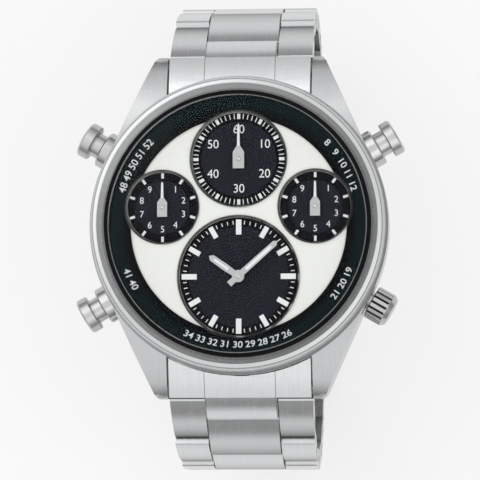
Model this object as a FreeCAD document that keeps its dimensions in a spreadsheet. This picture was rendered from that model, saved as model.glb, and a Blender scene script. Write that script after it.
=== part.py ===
import FreeCAD, Part
import math
import os
import Sketcher

# Chronograph wristwatch on a three-row link bracelet that stands on its closed folding clasp.
# Millimetres and degrees. The origin is the middle of the case back's outer face,
# +Z runs out of the dial, +Y to 12 o'clock and +X to 3 o'clock.

drivingSizes = {
    # middle case
    "case_radius": 21.0,
    "case_low": 1.2,
    "case_wall": 4.5,
    "dial_ledge": 1.55,
    "case_edge": 0.35,
    "flank_low": 3.4,
    "shoulder_rise": 0.6,
    "lug_reach": 3.2,
    "lug_clear": 0.1,
    "lug_tip_width": 1.85,
    "lug_root_in": 2.7,
    "lug_root_along": 10.1,
    "lug_drop": 0.7,
    "lug_fall": 11.5,
    "lug_heel": 5.0,
    "lug_tip_top": 5.0,
    "lug_foot": 0.3,
    # bezel and crystal
    "bezel_step": 0.4,
    "bezel_high": 2.6,
    "bezel_slope": 1.0,
    "bezel_drop": 0.8,
    "shelf_high": 1.1,
    "shelf_width": 0.6,
    "crystal_gap": 0.1,
    "crystal_thick": 1.05,
    "crystal_dome": 1.0,
    "gasket_wall": 0.55,
    # case back
    "back_lip": 1.0,
    "back_plate": 1.4,
    "back_rim_high": 2.0,
    "back_rim_wall": 0.8,
    "gasket_inset": 0.25,
    "gasket_groove": 0.45,
    # dial
    "dial_space": 0.35,
    "dial_thick": 0.8,
    "dial_recess": 0.6,
    "subdial_thick": 0.2,
    "rim_width": 0.3,
    "rim_high": 0.3,
    "flange_width": 2.85,
    "flange_high": 1.75,
    "seconds_radius": 6.6,
    "seconds_edge": 2.15,
    "subdial_gap": 1.6,
    "time_edge": 2.45,
    "split_edge": 2.0,
    "split_seconds_gap": 1.1,
    "split_time_gap": 1.2,
    "marker_edge": 0.35,
    "marker_length": 1.7,
    "marker_width": 0.7,
    "marker_high": 0.2,
    # movement
    "holder_wall": 1.4,
    "stem_space": 0.15,
    "main_thick": 0.6,
    "bridge_thick": 0.8,
    "board_thick": 0.4,
    "pillar_radius": 0.8,
    "pillar_in": 2.4,
    "cell_radius": 4.75,
    "cell_high": 1.5,
    "coil_length": 7.5,
    "coil_radius": 0.7,
    "coil_ring": 9.6,
    "arbor_radius": 0.25,
    "cannon_radius": 0.35,
    "pipe_wall": 0.2,
    "gear_thick": 0.25,
    "gear_depth": 0.22,
    "gear_space": 0.1,
    "gear_step": 0.15,
    "motion_distance": 3.3,
    "split_wheel": 2.3,
    # hands
    "split_hand_clear": 1.4,
    "split_hand_width": 1.4,
    "seconds_hand_width": 1.6,
    "seconds_hand_clear": 1.6,
    "hour_hand_clear": 3.3,
    "minute_hand_clear": 0.95,
    "hand_thick": 0.18,
    "hub_radius": 0.85,
    "hour_hand_angle": 305.0,
    "minute_hand_angle": 48.3,
    # controls
    "control_level": 4.9,
    "pusher_angle": 30.0,
    "crown_angle": 30.0,
    "crown_radius": 2.4,
    "crown_gap": 0.35,
    "crown_length": 3.25,
    "crown_roof": 1.4,
    "crown_seal": 0.45,
    "crown_travel": 0.9,
    "crown_grip": 0.3,
    "stem_radius": 0.45,
    "stem_reach": 6.5,
    "flute_depth": 0.26,
    "collar_radius": 2.65,
    "collar_stand": 1.5,
    "collar_sink": 0.8,
    "cap_thick": 1.6,
    "cap_clear": 0.4,
    "cap_radius": 2.55,
    "neck_radius": 1.75,
    "pusher_stem": 0.5,
    "pusher_reach": 0.7,
    "pusher_travel": 1.0,
    "tube_radius": 1.3,
    "tube_start": 0.5,
    "spring_wire": 0.13,
    # bracelet
    "link_pitch": 8.0,
    "link_thick": 3.0,
    "bracelet_width": 20.3,
    "bracelet_taper": 2.1,
    "centre_share": 0.56,
    "link_bevel": 0.2,
    "link_crown": 0.4,
    "link_gap": 0.15,
    "row_gap": 0.1,
    "pin_radius": 0.5,
    "pivot_reach": 3.75,
    "first_pivot_up": 1.4,
    "end_link_slope": 30.0,
    "end_link_drop": 1.7,
    "end_link_back": 6.5,
    "end_link_gap": 0.4,
    "bar_reach": 0.9,
    "bar_rise": 1.4,
    "bar_radius": 0.6,
    "bar_tip_radius": 0.4,
    "bar_tip_length": 1.1,
    # clasp
    "clasp_shoulder": 3.1,
    "clasp_inset": 0.1,
    "clasp_wall": 1.0,
    "roof_gap": 0.14,
    "clasp_wall_top": 0.9,
    "clasp_back_off": 3.4,
    "clasp_front": 1.3,
    "cover_hinge_in": 4.4,
    "cover_hinge_down": 1.16,
    "blade_hinge_in": 6.8,
    "blade_hinge_down": 0.56,
    "blade_thick": 0.8,
    "blade_side_gap": 0.5,
    "blade_step": 1.3,
    "knuckle_radius": 0.8,
    "clasp_pin_radius": 0.35,
    "ear_radius": 1.25,
    "button_in": 3.6,
    "button_down": 0.7,
    "button_radius": 1.0,
    "button_out": 0.8,
    # fits
    "running_gap": 0.05,
    "press_gap": 0.02,
    "seat_gap": 0.05,
}
slopes = [49.0, 73.0, 90.0, 106.0, 122.5, 140.5]
for number, slope in enumerate(slopes, 1):
    drivingSizes[f"slope_{'abcdef'[number - 1]}"] = slope

doc = FreeCAD.newDocument("chronograph_wristwatch")
sheet = doc.addObject("Spreadsheet::Sheet", "sizes")
for row, (alias, number) in enumerate(drivingSizes.items(), 1):
    sheet.set(f"A{row}", alias)
    sheet.set(f"B{row}", str(number))
    sheet.setAlias(f"B{row}", alias)
doc.recompute()


class Size:
    """A number together with the sheet expression that gives it."""

    def __init__(self, number, text):
        self.number = number
        self.text = text

    def __add__(self, other):
        other = asSize(other)
        return Size(self.number + other.number, f"({self.text} + {other.text})")

    def __radd__(self, other):
        return asSize(other) + self

    def __sub__(self, other):
        other = asSize(other)
        return Size(self.number - other.number, f"({self.text} - {other.text})")

    def __rsub__(self, other):
        return asSize(other) - self

    def __mul__(self, other):
        other = asSize(other)
        return Size(self.number * other.number, f"({self.text} * {other.text})")

    def __rmul__(self, other):
        return asSize(other) * self

    def __truediv__(self, other):
        other = asSize(other)
        return Size(self.number / other.number, f"({self.text} / {other.text})")

    def __neg__(self):
        return Size(0.0, "0") - self


def asSize(number):
    return number if isinstance(number, Size) else Size(float(number), f"{float(number):.9g}")


def size(alias):
    return Size(drivingSizes[alias], f"sizes.{alias}")


def sine(angle):
    angle = asSize(angle)
    return Size(math.sin(math.radians(angle.number)), f"sin({angle.text} * 1 deg)")


def cosine(angle):
    angle = asSize(angle)
    return Size(math.cos(math.radians(angle.number)), f"cos({angle.text} * 1 deg)")


def root(value):
    return Size(math.sqrt(value.number), f"sqrt({value.text})")


def bind(thing, path, value):
    thing.setExpression(path, asSize(value).text)


def place(thing, x=0, y=0, z=0, yaw=0, pitch=0, roll=0):
    spot = "; ".join(asSize(value).text for value in (x, y, z))
    turn = "; ".join(asSize(value).text for value in (yaw, pitch, roll))
    text = f"create(<<placement>>; create(<<vector>>; {spot}); create(<<rotation>>; {turn}))"
    thing.setExpression("Placement", text)


# --- sketches and features -------------------------------------------------------------------

nodes = {}


def newBody(name):
    body = doc.addObject("PartDesign::Body", name)
    body.Label = name
    return body


def asNode(thing, name):
    thing.Label = name
    nodes[name] = thing
    return thing


def group(name, members):
    compound = doc.addObject("Part::Compound", name)
    compound.Links = members
    return asNode(compound, name)


def newSketch(body, name, plane, offset=0):
    sketch = body.newObject("Sketcher::SketchObject", f"{body.Name}_{name}_sketch")
    origin = [feature for feature in body.Origin.OriginFeatures if feature.Role == plane][0]
    sketch.AttachmentSupport = [(origin, "")]
    sketch.MapMode = "FlatFace"
    bind(sketch, "AttachmentOffset.Base.z", offset)
    return sketch


def drawPolygon(sketch, corners):
    corners = [(asSize(across), asSize(along)) for across, along in corners]
    first = sketch.GeometryCount
    spots = [FreeCAD.Vector(across.number, along.number, 0) for across, along in corners]
    for here, there in zip(spots, spots[1:] + spots[:1]):
        sketch.addGeometry(Part.LineSegment(here, there), False)
    for index in range(len(corners)):
        after = first + (index + 1) % len(corners)
        sketch.addConstraint(Sketcher.Constraint("Coincident", first + index, 2, after, 1))
    for index, (across, along) in enumerate(corners):
        for kind, value in (("DistanceX", across), ("DistanceY", along)):
            number = sketch.addConstraint(
                Sketcher.Constraint(kind, -1, 1, first + index, 1, value.number))
            bind(sketch, f"Constraints[{number}]", value)


def drawCircle(sketch, across, along, radius):
    across, along, radius = asSize(across), asSize(along), asSize(radius)
    centre = FreeCAD.Vector(across.number, along.number, 0)
    edge = sketch.addGeometry(Part.Circle(centre, FreeCAD.Vector(0, 0, 1), radius.number), False)
    number = sketch.addConstraint(Sketcher.Constraint("Radius", edge, radius.number))
    bind(sketch, f"Constraints[{number}]", radius)
    for kind, value in (("DistanceX", across), ("DistanceY", along)):
        number = sketch.addConstraint(Sketcher.Constraint(kind, -1, 1, edge, 3, value.number))
        bind(sketch, f"Constraints[{number}]", value)


def drawLoops(sketch, loops):
    for loop in loops:
        if isinstance(loop, list):
            drawPolygon(sketch, loop)
        else:
            drawCircle(sketch, *loop)


def pad(body, name, plane, loops, low, high):
    """Material between two levels along the plane's normal; a loop is a corner list or (x, y, r)."""
    sketch = newSketch(body, name, plane, low)
    drawLoops(sketch, loops)
    feature = body.newObject("PartDesign::Pad", f"{body.Name}_{name}")
    feature.Profile = sketch
    bind(feature, "Length", asSize(high) - low)
    body.Tip = feature
    return feature


def pocket(body, name, plane, loops, low, high):
    """A cut between two levels along the plane's normal."""
    sketch = newSketch(body, name, plane, high)
    drawLoops(sketch, loops)
    feature = body.newObject("PartDesign::Pocket", f"{body.Name}_{name}")
    feature.Profile = sketch
    bind(feature, "Length", asSize(high) - low)
    body.Tip = feature
    return feature


def turned(body, name, profile, kind="Revolution"):
    """A profile of (radius, level) corners turned about Z; kind Groove cuts it away."""
    sketch = newSketch(body, name, "XZ_Plane")
    drawPolygon(sketch, profile)
    feature = body.newObject(f"PartDesign::{kind}", f"{body.Name}_{name}")
    feature.Profile = sketch
    feature.ReferenceAxis = (sketch, ["V_Axis"])
    feature.Angle = 360
    body.Tip = feature
    return feature


def turnedNode(name, profile):
    body = newBody(name)
    turned(body, "turn", profile)
    return asNode(body, name)


def ringPattern(body, name, feature, count):
    pattern = body.newObject("PartDesign::PolarPattern", f"{body.Name}_{name}")
    pattern.Originals = [feature]
    pattern.Axis = (feature.Profile[0], ["N_Axis"])
    pattern.Angle = 360
    pattern.Occurrences = count
    body.Tip = pattern
    return pattern


def cylinder(name, radius, length, x=0, y=0, z=0, yaw=0, pitch=0, roll=0):
    rod = doc.addObject("Part::Cylinder", name)
    rod.Label = name
    bind(rod, "Radius", radius)
    bind(rod, "Height", length)
    place(rod, x, y, z, yaw, pitch, roll)
    return rod


def crossPin(name, radius, halfLength, along=0, up=0):
    """A round pin along X, centred on the middle plane."""
    return cylinder(name, radius, 2 * halfLength, -halfLength, along, up, 0, 90, 0)


def box(left, right, near, far):
    return [(left, near), (right, near), (right, far), (left, far)]


def curve(start, control, end, steps=7):
    """Corners along a smooth arch from start to end that leaves both towards the control point."""
    corners = []
    for index in range(steps + 1):
        share = index / steps
        weights = ((1 - share) ** 2, 2 * share * (1 - share), share ** 2)
        corners.append(tuple(start[axis] * weights[0] + control[axis] * weights[1]
                             + end[axis] * weights[2] for axis in (0, 1)))
    return corners


# --- shared levels and places ----------------------------------------------------------------

caseRadius = size("case_radius")
running = size("running_gap")
press = size("press_gap")
seat = size("seat_gap")
caseBore = caseRadius - size("case_wall")
dialBore = caseBore + size("dial_ledge")
bezelRadius = caseRadius - size("bezel_step")
bezelInner = dialBore + seat
bezelOpening = bezelInner + size("shelf_width")
lugTip = caseRadius + size("lug_reach")
lugRoot = caseRadius - size("lug_root_in")

# Levels are stacked from the controls' axis: plates and board below it, train, dial and glass above.
level = size("control_level")
stemRoom = size("stem_radius") + size("stem_space")
bridgeTop = level - stemRoom
bridgeLow = bridgeTop - size("bridge_thick")
boardLow = bridgeLow - size("board_thick")
mainLow = level + stemRoom
mainTop = mainLow + size("main_thick")
lowGear = mainTop + size("gear_space")
highGear = lowGear + size("gear_thick") + size("gear_step")
dialLow = highGear + size("gear_thick") + size("dial_space")
dialTop = dialLow + size("dial_thick")
recessLow = dialTop - size("dial_recess")
subdialTop = recessLow + size("subdial_thick")
handLow = dialTop + seat
flangeTop = dialTop + size("flange_high")
shoulder = dialTop + size("shoulder_rise")
lugTop = shoulder - size("lug_drop")
bezelTop = shoulder + size("bezel_high")
bezelLip = bezelTop - size("bezel_drop")
bezelShelf = shoulder + size("shelf_high")
crystalLow = flangeTop + size("crystal_gap")
crystalEdge = crystalLow + size("crystal_thick")

# The counters fill the dial: the time counter takes what the seconds counter and the gaps leave.
secondsRadius = size("seconds_radius")
secondsUp = dialBore - size("seconds_edge") - secondsRadius
timeRadius = (2 * dialBore - size("seconds_edge") - 2 * secondsRadius - size("subdial_gap")
              - size("time_edge")) / 2
timeUp = size("time_edge") + timeRadius - dialBore

# Each split counter keeps its gap to the seconds counter, to the time counter and to the dial's edge.
# The three circle distances give two straight-line equations in its height and its radius.
splitReach = dialBore - size("split_edge")
fromSeconds = secondsRadius + size("split_seconds_gap")
fromTime = timeRadius + size("split_time_gap")
upperTerm = secondsUp * secondsUp - fromSeconds * fromSeconds + splitReach * splitReach
lowerTerm = timeUp * timeUp - fromTime * fromTime + splitReach * splitReach
divisor = 2 * (secondsUp * (fromTime + splitReach) - timeUp * (fromSeconds + splitReach))
splitRadius = (secondsUp * lowerTerm - timeUp * upperTerm) / divisor
splitUp = (upperTerm * (fromTime + splitReach) - lowerTerm * (fromSeconds + splitReach)) / divisor
splitSide = root((splitReach - splitRadius) * (splitReach - splitRadius) - splitUp * splitUp)
subdialSpots = {
    "seconds": (asSize(0), secondsUp, secondsRadius),
    "tenths": (-splitSide, splitUp, splitRadius),
    "hundredths": (splitSide, splitUp, splitRadius),
    "time": (asSize(0), timeUp, timeRadius),
}

pusherAngles = {
    "start": size("pusher_angle"),
    "reset": 180 - size("pusher_angle"),
    "mode": 180 + size("pusher_angle"),
}
crownAngle = -size("crown_angle")
crownInner = caseRadius + size("crown_gap")
crownOuter = crownInner + size("crown_length")
crownBore = size("tube_radius") + size("crown_seal")
tubeInner = caseBore + size("tube_start")
collarOuter = caseRadius + size("collar_stand")
collarFloor = caseRadius - size("collar_sink")
capInner = collarOuter + size("pusher_travel") + size("cap_clear")
capOuter = capInner + size("cap_thick")

bracketHalf = size("bracelet_width") / 2
lugGapHalf = bracketHalf + size("lug_clear")
barOut = caseRadius + size("bar_reach")
barUp = size("first_pivot_up") + size("bar_rise")
barTip = lugGapHalf + size("bar_tip_length")


# --- case ------------------------------------------------------------------------------------

def lugSideProfile():
    """Half of the lug's side outline from the middle to the tip, over the top and back below."""
    top, foot, tipTop, low = lugTop, size("lug_foot"), size("lug_tip_top"), size("case_low")
    heel, start = size("lug_heel"), lugTip - size("lug_fall")
    fall = curve((start, top), ((start + lugTip) / 2, top), (lugTip - 0.8, tipTop + 0.4))
    return [(0, top)] + fall + [
        (lugTip, tipTop - 0.6), (lugTip, foot + 0.7), (lugTip - 0.8, foot), (lugTip - heel, low - 0.2),
        (lugTip - heel - 1.5, low), (0, low)]


def lugPlan(sideX, sideY):
    side = lugGapHalf + size("lug_tip_width")
    return [(sideX * across, sideY * along) for across, along in (
        (lugGapHalf, size("lug_root_along")), (lugRoot, size("lug_root_along")),
        (side, lugTip - 0.5), (side - 0.5, lugTip), (lugGapHalf, lugTip))]


def controlHole(body, name, angle, radius, inner, outer):
    """A round hole along the radius of the case at a control's angle."""
    tool = body.newObject("PartDesign::SubtractiveCylinder", f"{body.Name}_{name}")
    bind(tool, "Radius", radius)
    bind(tool, "Height", asSize(outer) - inner)
    place(tool, cosine(angle) * inner, sine(angle) * inner, level, angle, 90, 0)
    body.Tip = tool


def makeCaseMiddle():
    body = newBody("case_middle")
    pad(body, "lugs", "XY_Plane", [lugPlan(x, y) for x in (1, -1) for y in (1, -1)], 0, lugTop)
    half = lugSideProfile()
    mirrored = [(-along, up) for along, up in reversed(half[1:-1])]
    reach = 2 * caseRadius
    pocket(body, "lug_side", "YZ_Plane", [box(-reach, reach, -level, shoulder), half + mirrored],
           -reach, reach)
    low, edge = size("case_low"), size("case_edge")
    inside = caseBore - 0.5
    turned(body, "round", [
        (inside, low), (caseRadius - 1.6, low), (caseRadius - 0.5, low + 1.0),
        (caseRadius, size("flank_low")), (caseRadius, shoulder - edge), (caseRadius - edge, shoulder),
        (inside, shoulder)])
    turned(body, "bore", box(0, caseBore, low - 3, shoulder + 1), "Groove")
    turned(body, "dial_seat", box(inside, dialBore, dialLow - 0.1, shoulder + 1),
           "Groove")
    grooveInner = caseBore + size("gasket_inset")
    turned(body, "gasket_groove", [
        (grooveInner, low - 1), (grooveInner + size("gasket_groove"), low - 1),
        (grooveInner + size("gasket_groove"), low + size("gasket_groove")),
        (grooveInner, low + size("gasket_groove"))], "Groove")
    for name, angle in pusherAngles.items():
        controlHole(body, f"{name}_tube_hole", angle, size("tube_radius") + press, caseBore - 1,
                    collarFloor + 0.1)
        controlHole(body, f"{name}_collar_hole", angle, size("collar_radius") + press,
                    collarFloor - press, caseRadius + 3)
    controlHole(body, "crown_hole", crownAngle, size("tube_radius") + press, caseBore - 1,
                caseRadius + 3)
    tipHole = barTip + 0.2
    for side in (1, -1):
        pocket(body, f"bar_holes_{'a' if side > 0 else 'b'}", "YZ_Plane",
               [(side * barOut, barUp, size("bar_tip_radius") + press)],
               -tipHole, tipHole)
    return asNode(body, "case_middle")


def makeBezel():
    return turnedNode("bezel", [
        (bezelInner, shoulder), (bezelRadius, shoulder), (bezelRadius, bezelTop - 0.7),
        (bezelRadius - 0.4, bezelTop - 0.1), (bezelOpening + size("bezel_slope"), bezelTop),
        (bezelOpening, bezelLip), (bezelOpening, bezelShelf), (bezelInner, bezelShelf)])


def makeCrystal():
    outer = bezelOpening - size("gasket_wall") - press
    edge, dome = crystalEdge, size("crystal_dome")
    steps = 8
    crown = [(outer * (index / steps), edge + dome * (1 - (index / steps) * (index / steps)))
             for index in range(1, steps)]
    profile = [(0, crystalLow), (outer, crystalLow), (outer, edge - 0.15),
               (outer - 0.2, edge)] + crown[::-1] + [(0, edge + dome)]
    return turnedNode("crystal", profile)


def makeGaskets():
    sealed = newBody("crystal_gasket")
    turned(sealed, "turn", box(bezelOpening - size("gasket_wall"), bezelOpening - press,
                               bezelShelf, bezelLip))
    backSeal = newBody("back_gasket")
    inner = caseBore + size("gasket_inset") + press
    turned(backSeal, "turn", box(inner, inner + size("gasket_groove") - 2 * press, size("case_low"),
                                 size("case_low") + size("gasket_groove") - press))
    group("gaskets", [sealed, backSeal])


def makeCaseBack():
    radius, plate = caseBore + size("back_lip"), size("back_plate")
    rim = caseBore - seat
    return turnedNode("case_back", [
        (0, 0), (radius - 0.6, 0), (radius, 0.6), (radius, size("case_low")), (rim, size("case_low")),
        (rim, size("back_rim_high")), (rim - size("back_rim_wall"), size("back_rim_high")),
        (rim - size("back_rim_wall"), plate), (0, plate)])


# --- dial ------------------------------------------------------------------------------------

def makeDial():
    body = newBody("dial_plate")
    pad(body, "disc", "XY_Plane", [(0, 0, dialBore - seat)], dialLow, dialTop)
    pocket(body, "recesses", "XY_Plane", list(subdialSpots.values()), recessLow, dialTop + 1)
    holes = [(across, along, arborHole(key)) for key, (across, along, radius) in subdialSpots.items()]
    pocket(body, "arbor_holes", "XY_Plane", holes, dialLow - 1, dialTop)
    return asNode(body, "dial_plate")


def pipeRadius():
    return size("cannon_radius") + running + size("pipe_wall")


def arborHole(key):
    return (pipeRadius() if key == "time" else size("arbor_radius")) + 3 * running


def subdial(name, key, ring):
    across, along, radius = subdialSpots[key]
    hole = arborHole(key)
    body = newBody(name)
    turned(body, "turn", [(hole, recessLow), (radius - seat, recessLow), (radius - seat, subdialTop),
                          (radius * ring + 0.15, subdialTop), (radius * ring, subdialTop - 0.08),
                          (hole, subdialTop - 0.08)])
    place(body, across, along, 0)
    return body


def makeSubdials():
    asNode(subdial("seconds_subdial", "seconds", 0.8), "seconds_subdial")
    asNode(subdial("time_subdial", "time", 0.7), "time_subdial")
    group("split_subdials", [subdial("tenths_subdial", "tenths", 0.76),
                             subdial("hundredths_subdial", "hundredths", 0.76)])


def makeRims():
    rims = []
    for key, (across, along, radius) in subdialSpots.items():
        body = newBody(f"{key}_rim")
        outer, top = radius + size("rim_width"), dialTop + size("rim_high")
        turned(body, "turn", [(radius, dialTop), (outer, dialTop), (outer, top - 0.05),
                              (outer - 0.08, top), (radius, dialTop + 0.05)])
        place(body, across, along, 0)
        rims.append(body)
    group("subdial_rims", rims)


def makeMarkers():
    across, along, radius = subdialSpots["time"]
    bars = []
    for hour in range(12):
        bar = doc.addObject("Part::Box", f"time_marker_{hour}")
        quarter = hour % 3 == 0
        length = size("marker_length") + (0.4 if quarter else 0)
        width = size("marker_width") + (0.07 if quarter else 0)
        bind(bar, "Length", width)
        bind(bar, "Width", length)
        bind(bar, "Height", size("marker_high"))
        near = radius - size("marker_edge") - length
        place(bar, across + sine(30 * hour) * near - cosine(30 * hour) * (width / 2),
              along + cosine(30 * hour) * near + sine(30 * hour) * (width / 2), subdialTop,
              -30 * hour)
        bars.append(bar)
    group("time_markers", bars)


def makeFlange():
    body = newBody("flange_ring")
    inner, outer = dialBore - size("flange_width"), dialBore - seat
    turned(body, "turn", [(inner, dialTop), (outer, dialTop), (outer, flangeTop),
                          (outer - 0.4, flangeTop), (inner, dialTop + size("rim_high"))])
    windows = [(across, along, radius + size("rim_width") + seat)
               for across, along, radius in subdialSpots.values()]
    pocket(body, "windows", "XY_Plane", windows, dialTop - 1, flangeTop + 1)
    return asNode(body, "flange_ring")


# --- movement --------------------------------------------------------------------------------

def controlSlot(body, name, angle, halfWidth, inner, outer, low, high):
    """A slot through a round plate or ring along a control's axis."""
    tool = body.newObject("PartDesign::SubtractiveBox", f"{body.Name}_{name}")
    bind(tool, "Length", asSize(outer) - inner)
    bind(tool, "Width", 2 * asSize(halfWidth))
    bind(tool, "Height", asSize(high) - low)
    place(tool, cosine(angle) * inner + sine(angle) * halfWidth,
          sine(angle) * inner - cosine(angle) * halfWidth, low, angle)
    body.Tip = tool


def makeMovement():
    holderOuter = caseBore - seat
    holderInner = holderOuter - size("holder_wall")
    holder = newBody("movement_holder")
    turned(holder, "turn", box(holderInner, holderOuter, size("back_rim_high"), dialLow))
    slotHalf = size("tube_radius") + 0.1
    for name, angle in list(pusherAngles.items()) + [("crown", crownAngle)]:
        controlSlot(holder, f"{name}_slot", angle, slotHalf, holderInner - 2, holderOuter + 1,
                    level - slotHalf, level + slotHalf)
    asNode(holder, "movement_holder")

    plateRadius = holderInner - seat
    main = newBody("main_plate")
    pad(main, "disc", "XY_Plane", [(0, 0, plateRadius)], mainLow, mainTop)
    ring = plateRadius - size("pillar_in")
    pillars = [(cosine(turn) * ring, sine(turn) * ring, size("pillar_radius"))
               for turn in (60, 120, 240, 300)]
    pad(main, "pillars", "XY_Plane", pillars, bridgeTop, mainLow)
    holes = [(across, along, (size("cannon_radius") if key == "time" else size("arbor_radius")) + running)
             for key, (across, along, radius) in subdialSpots.items()]
    holes.append((size("motion_distance"), timeUp, size("arbor_radius") + running))
    pocket(main, "pivots", "XY_Plane", holes, mainLow - 1, mainTop + 1)
    asNode(main, "main_plate")

    bridge = newBody("train_bridge")
    pad(bridge, "disc", "XY_Plane", [(0, 0, plateRadius - 0.4)], bridgeLow, bridgeTop)
    asNode(bridge, "train_bridge")

    board = newBody("circuit_board")
    pad(board, "disc", "XY_Plane", [(0, 0, plateRadius - 0.8)], boardLow, bridgeLow)
    asNode(board, "circuit_board")

    cell = cylinder("rechargeable_cell", size("cell_radius"), size("cell_high"),
                    size("cell_radius") + 0.8, -size("cell_radius") - 1.5, boardLow - size("cell_high"))
    asNode(cell, "rechargeable_cell")

    coils = []
    length, radius = size("coil_length"), size("coil_radius")
    for number, clock in enumerate((78, 129, 193, 241)):
        across, along = cosine(clock) * size("coil_ring"), sine(clock) * size("coil_ring")
        turn = clock + 90
        coil = newBody(f"motor_coil_{number}")
        turned(coil, "turn", [(0, 0), (radius, 0), (radius, 0.5), (radius * 0.8, 0.5),
                              (radius * 0.8, length - 0.5), (radius, length - 0.5), (radius, length),
                              (0, length)])
        place(coil, across - cosine(turn) * (length / 2), along - sine(turn) * (length / 2),
              boardLow - radius, turn, 90, 0)
        coils.append(coil)
    group("motor_coils", coils)


def addTeeth(body, name, count, tipRadius, low, high):
    """One tooth on the rim and its ring of copies."""
    half = tipRadius * (math.pi / count) * 0.5
    root = tipRadius - size("gear_depth") - 0.05
    tooth = pad(body, name, "XY_Plane", [[(root, -half), (tipRadius, -half * 0.5),
                                          (tipRadius, half * 0.5), (root, half)]], low, high)
    ringPattern(body, f"{name}_ring", tooth, count)


def makeWheels():
    thick, depth = size("gear_thick"), size("gear_depth")
    arbor = size("arbor_radius")

    for key in ("seconds", "tenths", "hundredths"):
        across, along, radius = subdialSpots[key]
        wheel = newBody(f"{key}_wheel")
        tip = size("split_wheel")
        turned(wheel, "turn", [(0, mainLow), (arbor, mainLow), (arbor, lowGear),
                               (tip - depth, lowGear), (tip - depth, lowGear + thick),
                               (arbor, lowGear + thick), (arbor, handLow + 0.3), (0, handLow + 0.3)])
        addTeeth(wheel, "teeth", 24, tip, lowGear, lowGear + thick)
        place(wheel, across, along, 0)
        asNode(wheel, f"{key}_wheel")

    # Motion work: 10 into 30 teeth, then 8 into 32, twelve turns of the minute hand to one hour hand turn.
    distance = size("motion_distance")
    pinionTip, wheelTip = distance * 0.25 - seat / 2, distance * 0.75 - seat / 2
    smallTip, hourTip = distance * 0.2 - seat / 2, distance * 0.8 - seat / 2
    cannon = size("cannon_radius")
    across, along, radius = subdialSpots["time"]
    minute = newBody("cannon_pinion")
    turned(minute, "turn", [(0, mainLow), (cannon, mainLow), (cannon, lowGear),
                            (pinionTip - depth, lowGear), (pinionTip - depth, lowGear + thick),
                            (cannon, lowGear + thick), (cannon, handLow + 0.75), (0, handLow + 0.75)])
    addTeeth(minute, "teeth", 10, pinionTip, lowGear, lowGear + thick)
    place(minute, across, along, 0)
    asNode(minute, "cannon_pinion")

    bore, pipe = cannon + running, pipeRadius()
    hour = newBody("hour_wheel")
    turned(hour, "turn", [(bore, highGear), (hourTip - depth, highGear),
                          (hourTip - depth, highGear + thick), (pipe, highGear + thick),
                          (pipe, handLow + 0.25), (bore, handLow + 0.25)])
    addTeeth(hour, "teeth", 32, hourTip, highGear, highGear + thick)
    place(hour, across, along, 0)
    asNode(hour, "hour_wheel")

    motion = newBody("motion_wheel")
    turned(motion, "turn", [(0, mainLow), (arbor, mainLow), (arbor, lowGear),
                            (wheelTip - depth, lowGear), (wheelTip - depth, lowGear + thick),
                            (smallTip - depth, lowGear + thick), (smallTip - depth, highGear + thick),
                            (0, highGear + thick)])
    addTeeth(motion, "teeth", 30, wheelTip, lowGear, lowGear + thick)
    addTeeth(motion, "small_teeth", 8, smallTip, highGear, highGear + thick)
    place(motion, across + distance, along, 0)
    asNode(motion, "motion_wheel")


def makeHands():
    thick, hub = size("hand_thick"), size("hub_radius")
    arbor = size("arbor_radius") + press / 2

    # Chronograph hands: a broad base with shoulders that runs into a slim needle, pointing to 12.
    for key in ("seconds", "tenths", "hundredths"):
        across, along, radius = subdialSpots[key]
        reach = radius - size("seconds_hand_clear" if key == "seconds" else "split_hand_clear")
        half = size("seconds_hand_width" if key == "seconds" else "split_hand_width") / 2
        hand = newBody(f"{key}_hand")
        neck, waist = reach * 0.19, reach * 0.375
        outline = [(-half, -1.35), (half, -1.35), (half, neck), (0.22, waist), (0.14, reach - 0.15),
                   (0, reach), (-0.14, reach - 0.15), (-0.22, waist), (-half, neck)]
        pad(hand, "blade", "XY_Plane", [outline, (0, 0, arbor)], handLow, handLow + thick)
        place(hand, across, along, 0)
        asNode(hand, f"{key}_hand")

    across, along, radius = subdialSpots["time"]
    bores = {"hour": pipeRadius() + press / 2, "minute": size("cannon_radius") + press / 2}
    for key, tail, tailWidth, width in (("hour", 0.6, 0.7, 1.0), ("minute", 1.7, 0.85, 0.85)):
        reach = radius - size(f"{key}_hand_clear")
        low = handLow if key == "hour" else handLow + 0.5
        hand = newBody(f"{key}_hand")
        outline = [(-tailWidth / 2, -tail), (tailWidth / 2, -tail), (width * 0.5, reach * 0.45),
                   (width * 0.45, reach - 0.5), (0, reach), (-width * 0.45, reach - 0.5),
                   (-width * 0.5, reach * 0.45)]
        pad(hand, "blade", "XY_Plane", [outline], low, low + thick)
        pad(hand, "hub", "XY_Plane", [(0, 0, hub)], low, low + thick + 0.05)
        pocket(hand, "bore", "XY_Plane", [(0, 0, bores[key])], low - 1, low + 1)
        place(hand, across, along, 0, -size(f"{key}_hand_angle"))
        asNode(hand, f"{key}_hand")


# --- crown and pushers -----------------------------------------------------------------------

def placeControl(thing, angle):
    place(thing, 0, 0, level, angle, 90, 0)
    return thing


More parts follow.
